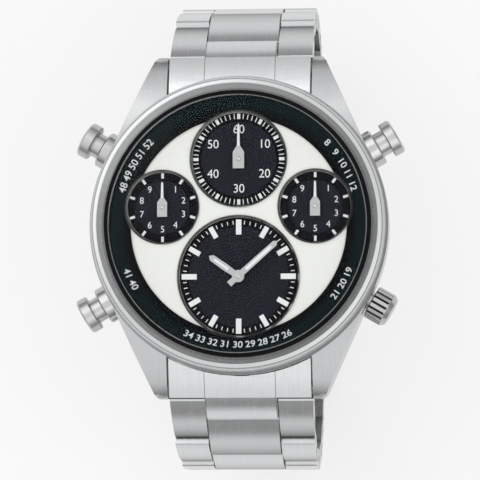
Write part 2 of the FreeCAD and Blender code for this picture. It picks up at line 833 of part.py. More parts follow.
def makeCrown():
    tube = newBody("crown_tube")
    tubeEnd = crownInner + size("crown_travel") + size("crown_grip")
    turned(tube, "turn", box(size("stem_radius") + running, size("tube_radius"), tubeInner, tubeEnd))
    asNode(placeControl(tube, crownAngle), "crown_tube")

    crown = newBody("crown")
    radius, low, high = size("crown_radius"), crownInner, crownOuter
    roof = high - size("crown_roof")
    turned(crown, "turn", [
        (crownBore, low), (radius - 0.15, low), (radius, low + 0.15), (radius, high - 0.7),
        (radius - 0.45, high - 0.1), (radius - 1.0, high), (0, high), (0, roof), (crownBore, roof)])
    flute = size("flute_depth")
    cut = pocket(crown, "flute", "XY_Plane", [[(radius - flute, -0.07), (radius + 0.3, -0.3),
                                               (radius + 0.3, 0.3), (radius - flute, 0.07)]],
                 low - 0.5, high - 0.75)
    ringPattern(crown, "flutes", cut, 18)
    asNode(placeControl(crown, crownAngle), "crown")

    stem = newBody("winding_stem")
    turned(stem, "turn", box(0, size("stem_radius"), caseBore - size("stem_reach"), roof))
    asNode(placeControl(stem, crownAngle), "winding_stem")

    ring = newBody("crown_gasket")
    turned(ring, "turn", box(size("tube_radius") + running, crownBore - running,
                             low + 0.3, low + 0.7))
    asNode(placeControl(ring, crownAngle), "crown_gasket")


def makePushers():
    collars = []
    floor, outer = collarFloor, collarOuter
    bore = size("neck_radius") + running
    stem, stemEnd = size("pusher_stem"), caseBore - size("pusher_reach")
    for name, angle in pusherAngles.items():
        collar = newBody(f"{name}_tube")
        turned(collar, "turn", [
            (stem + running, tubeInner), (size("tube_radius"), tubeInner),
            (size("tube_radius"), floor), (size("collar_radius"), floor),
            (size("collar_radius"), outer - 0.2), (size("collar_radius") - 0.2, outer), (bore, outer),
            (bore, floor + 0.4), (stem + running, floor + 0.4)])
        collars.append(placeControl(collar, angle))

        pusher = newBody(f"{name}_pusher")
        cap, neckLow = size("cap_radius"), outer - 0.25
        turned(pusher, "turn", [
            (0, stemEnd), (stem, stemEnd), (stem, neckLow), (size("neck_radius"), neckLow),
            (size("neck_radius"), capInner), (cap - 0.15, capInner), (cap, capInner + 0.15),
            (cap, capOuter - 0.25), (cap - 0.25, capOuter), (0, capOuter)])
        asNode(placeControl(pusher, angle), f"{name}_pusher")

        asNode(makeSpring(f"{name}_spring", floor + 0.4, neckLow, angle), f"{name}_spring")
    group("pusher_tubes", collars)


def makeSpring(name, low, high, angle):
    """A coil of square wire between the collar's floor and the pusher's neck."""
    wire = size("spring_wire").number
    mean = (size("pusher_stem").number + size("neck_radius").number) / 2
    length = (high - low).number - 2 * wire - 0.04
    turns = 4
    route = Part.makeLongHelix(length / turns, length, mean)
    corners = [FreeCAD.Vector(mean + across * wire, 0, up * wire)
               for across, up in ((-1, -1), (1, -1), (1, 1), (-1, 1), (-1, -1))]
    spring = doc.addObject("Part::Feature", name)
    spring.Shape = Part.Wire(route).makePipeShell([Part.makePolygon(corners)], True, True)
    turn = angle.number
    base = low.number + wire + 0.02
    spring.Placement = FreeCAD.Placement(
        FreeCAD.Vector(base * math.cos(math.radians(turn)), base * math.sin(math.radians(turn)),
                       level.number),
        FreeCAD.Rotation(turn, 90, 0))
    return spring


# --- bracelet --------------------------------------------------------------------------------

def slopeOf(number):
    return size(f"slope_{'abcdef'[number - 1]}")


def pivotOf(number):
    """(out, up) of the pivot that ends the given link; number 0 is the end link's pivot."""
    out, up = caseRadius + size("pivot_reach"), size("first_pivot_up")
    for step in range(1, number + 1):
        out = out + size("link_pitch") * cosine(slopeOf(step))
        up = up - size("link_pitch") * sine(slopeOf(step))
    return out, up


def widthAt(share):
    """Half width of the bracelet at a share of the way from the case to the clasp."""
    return (size("bracelet_width") - size("bracelet_taper") * share) / 2


def rowProfile(side, flatEnd, noseEnd, direction):
    """Side outline of one block: crowned outside, a bevelled flat end, a nose round its pivot."""
    half, bevel = size("link_thick") / 2, size("link_bevel")
    edge = half - size("link_crown")
    nose = size("link_pitch") / 4 - size("link_gap")
    tip = noseEnd + direction * nose
    first, last = flatEnd + direction * bevel, tip - direction * bevel
    crown = curve((first, edge), ((first + last) / 2, half + size("link_crown")), (last, edge))
    corners = crown + [
        (tip, edge - bevel), (tip, 0), (noseEnd + direction * nose * 0.55, -half), (first, -half),
        (flatEnd, -half + bevel), (flatEnd, edge - bevel)]
    return [(side * along, up) for along, up in corners]


def trimSides(body, profile):
    """Cuts a block down to its side outline."""
    reach = 3 * size("link_pitch")
    width = size("bracelet_width")
    frame = box(-reach, reach, -size("link_thick"), size("link_thick"))
    pocket(body, "outline", "YZ_Plane", [frame, profile], -width, width)


def makeLink(side, number):
    name = f"link_{'12' if side > 0 else '6'}_{number}"
    pitch, half = size("link_pitch"), size("link_thick") / 2
    quarter = pitch / 4
    nose = quarter - size("link_gap")
    last = number == len(slopes)
    startWidth, endWidth = widthAt((number - 1) / 6), widthAt(number / 6)
    centreHalf = widthAt(1) * size("centre_share")
    rowInner = centreHalf + size("row_gap")
    flat = pitch - size("clasp_shoulder") if last else 3 * quarter

    outers = newBody(f"{name}_outers")
    plans = [[(turn * rowInner, side * -nose), (turn * startWidth, side * -nose),
              (turn * endWidth, side * flat), (turn * rowInner, side * flat)] for turn in (1, -1)]
    pad(outers, "plan", "XY_Plane", plans, -half, half)
    trimSides(outers, rowProfile(side, flat, asSize(0), -1))
    pinHole = size("pin_radius") + press
    pocket(outers, "pin_holes", "YZ_Plane",
           [(0, 0, pinHole), (side * (pitch / 2), 0, pinHole)], -bracketHalf - 1, bracketHalf + 1)

    centre = newBody(f"{name}_centre")
    width = box(-centreHalf, centreHalf, side * quarter, side * (pitch if last else pitch + nose))
    pad(centre, "plan", "XY_Plane", [width], -half, half)
    if last:
        pad(centre, "barrel", "YZ_Plane", [(side * pitch, 0, half)], -centreHalf, centreHalf)
    else:
        trimSides(centre, rowProfile(side, quarter, pitch, 1))
    holes = [(side * (pitch / 2), 0, pinHole), (side * pitch, 0, size("pin_radius") + running)]
    if last:
        holes[1] = (side * pitch, 0, size("clasp_pin_radius") + press)
    pocket(centre, "pin_holes", "YZ_Plane", holes, -centreHalf - 1, centreHalf + 1)

    pins = [crossPin(f"{name}_pivot_pin", size("pin_radius"), startWidth - 0.6),
            crossPin(f"{name}_fixed_pin", size("pin_radius"), endWidth - 0.4, side * (pitch / 2))]
    if last:
        barHalf = centreHalf if side < 0 else claspHalf - 0.3
        pins.append(crossPin(f"{name}_spring_bar", size("clasp_pin_radius"), barHalf, side * pitch))
    link = group(name, [outers, centre] + pins)
    out, up = pivotOf(number - 1)
    place(link, 0, side * out, up, 0, 0, -side * slopeOf(number))


def makeEndLink(side):
    """The piece between the lugs: curved to the case, with the first pivot in its middle row."""
    name = f"end_link_{'12' if side > 0 else '6'}"
    slope = size("end_link_slope")
    out, up = pivotOf(0)

    def spot(along, above):
        """A point given along and above the end link's own slope from the first pivot."""
        return (out + cosine(slope) * along + sine(slope) * above,
                up - sine(slope) * along + cosine(slope) * above)

    def mirrored(corner):
        return side * corner[0], corner[1]

    quarter = size("link_pitch") / 4
    nose = quarter - size("link_gap")
    half = size("link_thick") / 2
    top = shoulder - size("end_link_drop")
    rear = out - size("end_link_back")
    under = [(side * rear, up - 0.4), (side * rear, top)]
    body = newBody(name)

    def arch(control, end):
        return [(side * along, above) for along, above in curve((rear, top), control, end)[1:]]

    start = -quarter - size("end_link_gap")
    sides = under + arch((rear + 2.4, top), spot(start, 2 * half)) + [mirrored(spot(start, -1.0))]
    pad(body, "sides", "YZ_Plane", [sides], -bracketHalf + 0.1, bracketHalf - 0.1)
    centreHalf = widthAt(1) * size("centre_share")
    inner = centreHalf + size("row_gap")
    middle = under + arch((out - 1.1, top - 0.3), spot(nose - 0.35, half)) + [
        mirrored(spot(*corner)) for corner in ((nose, half - 0.35), (nose, 0), (nose * 0.55, -half),
                                               (-quarter, -half))]
    pad(body, "middle", "YZ_Plane", [middle], -centreHalf, centreHalf)
    pocket(body, "case_curve", "XY_Plane", [(0, 0, caseRadius + seat)], up - size("link_pitch"), top + 1)
    pocket(body, "pivot_hole", "YZ_Plane", [(side * out, up, size("pin_radius") + running)],
           -inner, inner)
    pocket(body, "bar_hole", "YZ_Plane",
           [(side * barOut, barUp, size("bar_radius") + press)],
           -bracketHalf - 1, bracketHalf + 1)
    asNode(body, name)


def makeCaseBars():
    bars = []
    for side in (1, -1):
        bar = newBody(f"spring_bar_{'12' if side > 0 else '6'}")
        shoulder = bracketHalf - 0.3
        turned(bar, "turn", [(0, -barTip), (size("bar_tip_radius"), -barTip),
                             (size("bar_tip_radius"), -shoulder), (size("bar_radius"), -shoulder),
                             (size("bar_radius"), shoulder), (size("bar_tip_radius"), shoulder),
                             (size("bar_tip_radius"), barTip), (0, barTip)])
        place(bar, 0, side * barOut, barUp, 0, 90, 0)
        bars.append(bar)
    group("case_spring_bars", bars)


# --- clasp -----------------------------------------------------------------------------------
# Its own frame starts at the last pivot on the 12 o'clock side: Y to 12, Z to the wrist.

claspOut, claspUp = pivotOf(len(slopes))
claspSpan = 2 * claspOut
coverHinge = (-claspSpan + size("cover_hinge_in"), -size("cover_hinge_down"))
bladeHinge = (-size("blade_hinge_in"), -size("blade_hinge_down"))
claspHalf = widthAt(1) - size("clasp_inset")
claspInner = claspHalf - size("clasp_wall")
innerBladeHalf = claspInner - size("blade_side_gap")
middleBladeHalf = innerBladeHalf - size("blade_step")
roofTop = -size("cover_hinge_down") - size("knuckle_radius") - size("roof_gap")
roofLow = roofTop - size("clasp_wall")
tongueHalf = widthAt(1) * size("centre_share")
earInner = tongueHalf + size("row_gap") + 0.1


def placeClasp(thing):
    place(thing, 0, claspOut, claspUp)
    return thing


def makeClaspCover():
    body = newBody("clasp_cover")
    back, front = -claspSpan + size("clasp_back_off"), size("clasp_front")
    top = size("clasp_wall_top")
    pad(body, "roof", "XY_Plane", [box(-claspHalf, claspHalf, back, front)], roofLow, roofTop)
    side = [(back, roofLow), (front, roofLow), (front, top - 0.3), (front - 0.3, top),
            (back + 2.5, top), (back, coverHinge[1] + 0.9)]
    pad(body, "right_wall", "YZ_Plane", [side], claspInner, claspHalf)
    pad(body, "left_wall", "YZ_Plane", [side], -claspHalf, -claspInner)
    lug = box(-size("link_thick") / 2 - 0.3, front, roofTop, top - 0.3)
    pad(body, "right_lug", "YZ_Plane", [lug], earInner, claspInner)
    pad(body, "left_lug", "YZ_Plane", [lug], -claspInner, -earInner)
    pocket(body, "bar_hole", "YZ_Plane", [(0, 0, size("clasp_pin_radius") + running)],
           -claspHalf + 0.25, claspHalf - 0.25)
    pocket(body, "hinge_hole", "YZ_Plane", [(*coverHinge, size("clasp_pin_radius") + running)],
           -claspHalf - 1, claspHalf + 1)
    pocket(body, "button_holes", "YZ_Plane",
           [(-size("button_in"), -size("button_down"), size("button_radius") + running)],
           -claspHalf - 1, claspHalf + 1)
    asNode(placeClasp(body), "clasp_cover")


def makeMiddleBlade():
    half, thick = middleBladeHalf, size("blade_thick")
    plateTop = coverHinge[1] + 0.3
    blade = newBody("middle_blade_plate")
    pad(blade, "plate", "XY_Plane", [box(-half, half, coverHinge[0], bladeHinge[0] - 1.3)],
        plateTop - thick, plateTop)
    knuckle = size("knuckle_radius")
    hingeHalf = claspInner - 3 * seat
    pad(blade, "cover_knuckle", "YZ_Plane", [(*coverHinge, knuckle)], -hingeHalf, hingeHalf)
    innerHalf = half * 0.6
    arm = [(bladeHinge[0] - 1.4, plateTop - thick), (bladeHinge[0], bladeHinge[1] - knuckle),
           (bladeHinge[0], bladeHinge[1] + 0.2), (bladeHinge[0] - 1.4, plateTop)]
    pad(blade, "arm", "YZ_Plane", [arm], -innerHalf, innerHalf)
    pad(blade, "blade_knuckle", "YZ_Plane", [(*bladeHinge, knuckle)], -innerHalf, innerHalf)
    pin = size("clasp_pin_radius")
    pocket(blade, "cover_pin_hole", "YZ_Plane", [(*coverHinge, pin + press)], -claspHalf, claspHalf)
    pocket(blade, "blade_pin_hole", "YZ_Plane", [(*bladeHinge, pin + press)], -claspHalf, claspHalf)
    pins = [crossPin("cover_hinge_pin", pin, claspHalf - 0.1, *coverHinge),
            crossPin("blade_hinge_pin", pin, innerBladeHalf - 0.3, *bladeHinge)]
    placeClasp(group("clasp_middle_blade", [blade] + pins))


def makeInnerBlade():
    half, thick = innerBladeHalf, size("blade_thick")
    low = coverHinge[1] + size("knuckle_radius") + 0.3
    knuckle = size("knuckle_radius")
    windowHalf = middleBladeHalf * 0.6 + 3 * seat
    plateEnd = coverHinge[0] - 1.9
    blade = newBody("clasp_inner_blade")
    pad(blade, "plate", "XY_Plane", [box(-half, half, plateEnd, bladeHinge[0] - 1.25)], low, low + thick)
    for name, start, end in (("right", windowHalf, half), ("left", -half, -windowHalf)):
        arm = [(bladeHinge[0] - 1.3, low), (bladeHinge[0], low), (bladeHinge[0] + 0.3, low + 0.2),
               (bladeHinge[0] + 0.3, low + 0.4), (bladeHinge[0] - 0.4, low + thick),
               (bladeHinge[0] - 1.3, low + thick)]
        pad(blade, f"{name}_arm", "YZ_Plane", [arm], start, end)
        pad(blade, f"{name}_knuckle", "YZ_Plane", [(*bladeHinge, knuckle)], start, end)
    ear = size("ear_radius")
    for name, start, end in (("right", earInner, half), ("left", -half, -earInner)):
        pad(blade, f"{name}_ear_arm", "YZ_Plane", [box(-claspSpan, plateEnd + 0.1, low, low + thick)],
            start, end)
        pad(blade, f"{name}_ear", "YZ_Plane", [(-claspSpan, 0, ear)], start, end)
    pin = size("clasp_pin_radius") + running
    pocket(blade, "hinge_hole", "YZ_Plane", [(*bladeHinge, pin)], -claspHalf, claspHalf)
    pocket(blade, "ear_hole", "YZ_Plane", [(-claspSpan, 0, pin)], -claspHalf, claspHalf)
    asNode(placeClasp(blade), "clasp_inner_blade")


def makeButtons():
    """Each button is turned: a flange inside the wall, a shank through it and a head outside."""
    wallIn, wallOut = claspInner, claspHalf
    radius = size("button_radius")
    for name, side in (("right", 1), ("left", -1)):
        button = newBody(f"clasp_button_{name}")
        turned(button, "turn", [(0, wallIn - 0.8), (radius + 0.3, wallIn - 0.8),
                                (radius + 0.3, wallIn - 0.05), (radius, wallIn - 0.05),
                                (radius, wallOut + size("button_out") - 0.15),
                                (radius - 0.15, wallOut + size("button_out")),
                                (0, wallOut + size("button_out"))])
        place(button, 0, claspOut - size("button_in"), claspUp - size("button_down"), 0, side * 90, 0)
        asNode(button, f"clasp_button_{name}")


# --- build and write -------------------------------------------------------------------------

makeCaseMiddle()
makeBezel()
makeCrystal()
makeGaskets()
makeCaseBack()
makeDial()
makeSubdials()
makeRims()
makeMarkers()
makeFlange()
makeMovement()
makeWheels()
makeHands()
makeCrown()
makePushers()
for side in (1, -1):
    makeEndLink(side)
    for number in range(1, len(slopes) + 1):
        makeLink(side, number)
makeCaseBars()
makeClaspCover()
makeMiddleBlade()
makeInnerBlade()
makeButtons()

doc.recompute()
for thing in doc.Objects:
    bad = [state for state in thing.State if state in ("Invalid", "Error")]
    if bad:
        raise RuntimeError(f"{thing.Name}: {bad}")
for thing in doc.Objects:
    if thing.TypeId in ("PartDesign::Pocket", "PartDesign::Groove") and thing.BaseFeature:
        if thing.Shape.Volume >= thing.BaseFeature.Shape.Volume - 1e-6:
            raise RuntimeError(f"{thing.Name} cuts nothing")
for name, thing in nodes.items():
    if thing.Shape.isNull() or not thing.Shape.isValid() or not thing.Shape.Solids:
        raise RuntimeError(f"{name} has no valid solid")

os.makedirs("parts", exist_ok=True)
for name, thing in nodes.items():
    thing.Shape.exportStep(f"parts/{name}.step")
print(len(nodes), "nodes,", sum(len(thing.Shape.Solids) for thing in nodes.values()), "solids")
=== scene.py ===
import bpy, bmesh, math
from mathutils import Matrix, Vector


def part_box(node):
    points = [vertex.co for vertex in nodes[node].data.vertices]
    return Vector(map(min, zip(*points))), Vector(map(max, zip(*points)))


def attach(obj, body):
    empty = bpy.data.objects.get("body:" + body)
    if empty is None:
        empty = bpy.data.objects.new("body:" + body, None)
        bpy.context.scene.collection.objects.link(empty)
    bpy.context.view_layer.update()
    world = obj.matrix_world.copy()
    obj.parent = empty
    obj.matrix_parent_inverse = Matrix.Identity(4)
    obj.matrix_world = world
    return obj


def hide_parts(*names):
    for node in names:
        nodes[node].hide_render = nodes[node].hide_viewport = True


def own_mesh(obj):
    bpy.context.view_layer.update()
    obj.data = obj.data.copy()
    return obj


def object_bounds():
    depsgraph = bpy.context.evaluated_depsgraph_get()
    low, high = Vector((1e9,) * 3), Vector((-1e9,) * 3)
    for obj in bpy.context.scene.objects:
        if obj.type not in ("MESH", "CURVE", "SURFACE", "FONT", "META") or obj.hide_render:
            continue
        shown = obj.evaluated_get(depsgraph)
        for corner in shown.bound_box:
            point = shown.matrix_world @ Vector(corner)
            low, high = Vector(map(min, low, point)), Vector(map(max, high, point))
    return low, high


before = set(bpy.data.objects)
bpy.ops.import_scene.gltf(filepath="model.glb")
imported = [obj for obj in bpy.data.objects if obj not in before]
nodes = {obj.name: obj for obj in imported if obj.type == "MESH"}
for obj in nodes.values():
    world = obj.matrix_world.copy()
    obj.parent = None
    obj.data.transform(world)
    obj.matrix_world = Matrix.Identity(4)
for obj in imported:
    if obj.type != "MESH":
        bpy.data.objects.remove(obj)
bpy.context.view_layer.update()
mm = 0.001
print("frame loaded,", len(nodes), "parts")


# ---- node helpers: one wrapped socket, one method for any other node
class Flow:
    def __init__(self, finish, socket):
        self.finish, self.socket = finish, socket

    def calc(self, operation, *values):
        return self.finish.add("ShaderNodeMath", {"operation": operation}, dict(enumerate(values)))

    def __add__(self, other): return self.calc("ADD", self, other)
    def __radd__(self, other): return self.calc("ADD", other, self)
    def __sub__(self, other): return self.calc("SUBTRACT", self, other)
    def __rsub__(self, other): return self.calc("SUBTRACT", other, self)
    def __mul__(self, other): return self.calc("MULTIPLY", self, other)
    def __rmul__(self, other): return self.calc("MULTIPLY", other, self)
    def __truediv__(self, other): return self.calc("DIVIDE", self, other)
    def __rtruediv__(self, other): return self.calc("DIVIDE", other, self)
    def __abs__(self): return self.calc("ABSOLUTE", self)
    def __pow__(self, other): return self.calc("POWER", self, other)
    def __gt__(self, other): return self.calc("GREATER_THAN", self, other)
    def __lt__(self, other): return self.calc("LESS_THAN", self, other)


class Finish:
    def __init__(self, name):
        self.material = bpy.data.materials.new(name)
        self.material.use_nodes = True
        self.tree = self.material.node_tree
        self.shader = self.tree.nodes["Principled BSDF"]
        self.output = self.tree.nodes["Material Output"]

    def add(self, kind, settings=None, inputs=None, output=0):
        node = self.tree.nodes.new(kind)
        for key, value in (settings or {}).items():
            setattr(node, key, value)
        for key, value in (inputs or {}).items():
            self.feed(node, key, value)
        return Flow(self, node.outputs[output])

    def feed(self, node, key, value):
        if isinstance(value, Flow):
            self.tree.links.new(value.socket, node.inputs[key])
        else:
            node.inputs[key].default_value = value

    def set(self, **values):
        for key, value in values.items():
            self.feed(self.shader, key.replace("_", " "), value)
        return self

    def place(self):
        return self.add("ShaderNodeTexCoord", output="Object")

    def axes(self, spot):
        parts = self.add("ShaderNodeSeparateXYZ", {}, {0: spot}).socket.node
        return [Flow(self, parts.outputs[index]) for index in range(3)]

    def vector(self, x, y, z):
        return self.add("ShaderNodeCombineXYZ", {}, {0: x, 1: y, 2: z})

    def noise(self, spot, scale, detail=3.0, roughness=0.6):
        return self.add("ShaderNodeTexNoise", {}, {"Vector": spot, "Scale": scale, "Detail": detail,
                                                   "Roughness": roughness}, "Fac")

    def blendColor(self, factor, low, high):
        node = self.tree.nodes.new("ShaderNodeMix")
        node.data_type = "RGBA"
        for key, value in ((0, factor), (6, low), (7, high)):
            self.feed(node, key, value)
        return Flow(self, node.outputs[2])

    def bump(self, height, strength, distance):
        return self.add("ShaderNodeBump", {}, {"Height": height, "Strength": strength,
                                               "Distance": distance}, "Normal")


def gray(level, warm=0.0):
    return (level * (1 + warm), level, level * (1 - warm), 1)


# ---- finishes
steel = {"tone": 0.5, "endLinkTone": 0.66, "linkTone": 0.66, "bezelTone": 0.56,
         "brushedRough": 0.26, "polishedRough": 0.15, "satinRough": 0.24,
         "hairsPerMetre": 9000, "hairDepth": 0.0000025, "hairStretch": 130,
         "grooveRadius": 20.28 * mm, "grooveWidth": 0.07 * mm, "seamHalf": 0.05 * mm,
         "markShare": 0.75, "markTone": 0.1}


def steelFinish(finish, spot, lines, tone, mark=None, paintedShading=None):
    # hair lines, a soft cloud and fine scuffs; an optional dark turned line, and optional painted shade that
    # darkens link blocks towards their ends and keeps their crowns bright
    hair = finish.noise(lines, 1.0, 2.0, 0.7)
    cloud = finish.noise(spot, 180.0, 3.0)
    scuff = finish.noise(spot, 900.0, 2.0)
    shade = hair * 0.55 + cloud * 0.25 + scuff * 0.2
    color = finish.blendColor(shade, gray(tone * 0.84, -0.014), gray(tone * 1.14, -0.012))
    height = hair
    if paintedShading is not None:
        # painted shade: each link block is blended towards a darker steel tone at its ends
        color = finish.blendColor(paintedShading, gray(linkBlocksAndShade["shadedTone"], -0.008), color)
    if mark is not None:
        color = finish.blendColor(mark * steel["markShare"], color, gray(steel["markTone"]))
        height = hair - mark * 2
    finish.set(Base_Color=color, Metallic=1.0, Roughness=steel["brushedRough"] - 0.06 + shade * 0.12,
               Normal=finish.bump(height, 0.35, steel["hairDepth"]))
    return finish


def hairLines(finish, x, y, z):
    return finish.vector(x * steel["hairsPerMetre"], y * steel["hairStretch"], z * steel["hairStretch"])


def brushedAlong(name, tone, seam=0.0):
    # hair lines that run from lug to lug and down the bracelet, with a pair of dark seams if asked for
    finish = Finish(name)
    spot = finish.place()
    x, y, z = finish.axes(spot)
    line = abs(abs(x) - seam) < steel["seamHalf"] if seam else None
    lines = hairLines(finish, x, y, z)
    return steelFinish(finish, spot, lines, tone, line)


# where each block starts and ends as a share of the link's height, and how the painted shade darkens it from its
# bright crown towards its ends
linkBlocksAndShade = {"shadedTone": 0.13, "centreHalf": 5.0 * mm, "outerBlock": (0.3, 1.02), "centreBlock": (-0.04, 0.68),
            "crownPlace": 1.55, "fall": 0.62}


def brushedLinks(name):
    # as the case, but with painted shade: each block stays bright on its crown and is painted darker towards its
    # ends
    finish = Finish(name)
    spot = finish.place()
    x, y, z = finish.axes(spot)
    up = finish.axes(finish.add("ShaderNodeTexCoord", output="Generated"))[2]
    centre = abs(x) < linkBlocksAndShade["centreHalf"]
    shares = []
    for low, high in (linkBlocksAndShade["outerBlock"], linkBlocksAndShade["centreBlock"]):
        share = (up - low) / (high - low)
        swing = share * 2 - linkBlocksAndShade["crownPlace"]
        shares.append(1 - swing * swing * linkBlocksAndShade["fall"])
    paintedShading = shares[0] * (1 - centre) + shares[1] * centre
    paintedShading = finish.add("ShaderNodeClamp", {}, {"Value": paintedShading, "Min": 0.0, "Max": 1.0})
    lines = hairLines(finish, x, y, z)
    return steelFinish(finish, spot, lines, steel["linkTone"], paintedShading=paintedShading)


def brushedRound(name):
    # hair lines that run round the dial axis, with one fine turned line on the bezel's top
    finish = Finish(name)
    spot = finish.place()
    x, y, z = finish.axes(spot)
    out = (x * x + y * y) ** 0.5
    turn = finish.add("ShaderNodeMath", {"operation": "ARCTAN2"}, {0: y, 1: x})
    lines = finish.vector(out * steel["hairsPerMetre"], turn * 3, z * steel["hairsPerMetre"])
    line = abs(out - steel["grooveRadius"]) < steel["grooveWidth"] / 2
    return steelFinish(finish, spot, lines, steel["bezelTone"], line)


def polishedSteel(name, tone=0.0, rough=0.0):
    finish = Finish(name)
    tone, rough = tone or steel["tone"], rough or steel["polishedRough"]
    spot = finish.place()
    smear = finish.noise(spot, 400.0, 3.0)
    scratch = finish.noise(finish.add("ShaderNodeMapping", {}, {"Vector": spot, "Scale": (2600, 500, 2600)}),
                           1.0, 2.0, 0.5)
    finish.set(Base_Color=finish.blendColor(smear, gray(tone * 0.94, -0.004), gray(tone * 1.06, -0.004)),
               Metallic=1.0, Roughness=rough + smear * 0.06 + scratch * 0.04,
               Normal=finish.bump(scratch, 0.12, 0.0000015))
    return finish


fluting = {"clock": 120.0, "floor": 2.2 * mm, "crest": 2.38 * mm, "end": 23.75 * mm, "dark": 0.04, "rough": 0.2}


def flutedSteel(name):
    # satin steel with painted shade: the floors of the crown's flutes are painted near black
    finish = polishedSteel(name, rough=fluting["rough"])
    low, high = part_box("crown")
    x, y, z = finish.axes(finish.place())
    turn = math.radians(90 - fluting["clock"])
    across = y * math.cos(turn) - x * math.sin(turn)
    up = z - (low[2] + high[2]) / 2
    out = (across * across + up * up) ** 0.5
    along = x * math.cos(turn) + y * math.sin(turn)
    end = along < fluting["end"]
    crest = finish.add("ShaderNodeMapRange", {}, {"Value": out, "From Min": fluting["floor"],
                                                  "From Max": fluting["crest"]})
    plain = Flow(finish, finish.shader.inputs["Base Color"].links[0].from_socket)
    # painted shade in the flute floors, fading out towards the crests
    return finish.set(Base_Color=finish.blendColor((1 - crest) * end, plain, gray(fluting["dark"])))


dialSurface = {"color": (0.87, 0.865, 0.83, 1), "rough": 0.42, "grainDepth": 0.000004}


def dialPaint(name):
    finish = Finish(name)
    color = dialSurface["color"]
    spot = finish.place()
    grain = finish.noise(spot, 9000.0, 3.0, 0.7)
    cloud = finish.noise(spot, 160.0, 2.0)
    low = tuple(channel * 0.97 for channel in color[:3]) + (1,)
    finish.set(Base_Color=finish.blendColor(grain * 0.6 + cloud * 0.4, low, color),
               Specular_IOR_Level=0.25, Roughness=dialSurface["rough"] + grain * 0.1,
               Normal=finish.bump(grain, 0.25, dialSurface["grainDepth"]))
    return finish


discPaint = {"groovesPerMetre": 21000, "deep": (0.0008, 0.0009, 0.0014, 1), "bright": (0.019, 0.020, 0.031, 1)}


def ringedPaint(name, centre, ringRadius, mirrored=False):
    # black counter disc: fine turned grooves inside, a plain printed track outside
    finish = Finish(name)
    spot = finish.place()
    x, y, z = finish.axes(spot)
    across = abs(x) - centre[0] if mirrored else x - centre[0]
    along = y - centre[1]
    out = (across * across + along * along) ** 0.5
    groove = finish.add("ShaderNodeMath", {"operation": "SINE"}, {0: out * discPaint["groovesPerMetre"]})
    inside = out < ringRadius
    cloud = finish.noise(spot, 500.0, 2.0)
    grain = finish.noise(spot, 8000.0, 2.0)
    shade = inside * (0.55 + groove * 0.25) + cloud * 0.15 + grain * 0.1
    finish.set(Base_Color=finish.blendColor(shade, discPaint["deep"], discPaint["bright"]),
               Specular_IOR_Level=0.06, Roughness=0.34 + grain * 0.1,
               Normal=finish.bump(groove * inside + grain * 0.3, 0.5, 0.000004))
    return finish


def printInk(name, color, rough=0.5, shine=0.3):
    finish = Finish(name)
    grain = finish.noise(finish.place(), 12000.0, 2.0)
    low = tuple(channel * 0.92 for channel in color[:3]) + (1,)
    finish.set(Base_Color=finish.blendColor(grain, low, color), Specular_IOR_Level=shine,
               Roughness=rough + grain * 0.1, Normal=finish.bump(grain, 0.2, 0.000002))
    return finish


flangeSheen = {"start": 15.8 * mm, "full": 16.8 * mm, "black": (0.0008, 0.0012, 0.0018, 1),
            "green": (0.003, 0.0105, 0.0125, 1)}


def flangePaint(name):
    # near black with a painted blue-green sheen that grows towards the outer slope and comes and goes with a
    # faint cloud; satin
    finish = Finish(name)
    spot = finish.place()
    x, y, z = finish.axes(spot)
    out = (x * x + y * y) ** 0.5
    cloud = finish.noise(spot, 90.0, 2.0)
    grain = finish.noise(spot, 7000.0, 2.0)
    # painted sheen: from the start radius outwards the ring turns blue-green
    paintedSheen = finish.add("ShaderNodeMapRange", {}, {"Value": out, "From Min": flangeSheen["start"],
                                                 "From Max": flangeSheen["full"]})
    finish.set(Base_Color=finish.blendColor(paintedSheen * (0.5 + cloud * 0.5), flangeSheen["black"], flangeSheen["green"]),
               Specular_IOR_Level=0.08, Roughness=0.2 + grain * 0.08,
               Normal=finish.bump(grain, 0.15, 0.000002))
    return finish


def clearCrystal(name):
    finish = Finish(name)
    spot = finish.place()
    film = finish.noise(spot, 260.0, 2.0)
    clear = finish.add("ShaderNodeBsdfTransparent", {}, {"Color": (0.985, 0.99, 0.988, 1)}, "BSDF")
    finish.set(Base_Color=finish.blendColor(film, gray(0.95), gray(1.0)), Metallic=1.0,
               Roughness=0.02 + film * 0.02)
    edge = finish.add("ShaderNodeLayerWeight", {}, {"Blend": 0.2}, "Facing")
    mix = finish.add("ShaderNodeMixShader", {}, {0: edge * 0.08 + 0.0015, 1: clear,
                                                 2: Flow(finish, finish.shader.outputs[0])}, "Shader")
    finish.tree.links.new(mix.socket, finish.output.inputs["Surface"])
    return finish


def groundGlass(name):
    # the crystal's edge: pale grey, half clear; the grey is a painted highlight
    finish = Finish(name)
    grain = finish.noise(finish.place(), 2500.0, 3.0)
    finish.set(Base_Color=finish.blendColor(grain, (0.10, 0.105, 0.11, 1), (0.2, 0.21, 0.21, 1)),
               Roughness=0.22 + grain * 0.1, Normal=finish.bump(grain, 0.2, 0.000003))
    return finish


def sealRubber(name):
    finish = Finish(name)
    grain = finish.noise(finish.place(), 5000.0, 3.0)
    finish.set(Base_Color=finish.blendColor(grain, gray(0.002), gray(0.005)), Specular_IOR_Level=0.1,
               Roughness=0.55 + grain * 0.2, Normal=finish.bump(grain, 0.3, 0.000005))
    return finish


def brass(name):
    finish = Finish(name)
    grain = finish.noise(finish.place(), 3000.0, 3.0)
    finish.set(Base_Color=finish.blendColor(grain, (0.55, 0.40, 0.16, 1), (0.75, 0.58, 0.27, 1)),
               Metallic=1.0, Roughness=0.25 + grain * 0.1, Normal=finish.bump(grain, 0.2, 0.000003))
    return finish


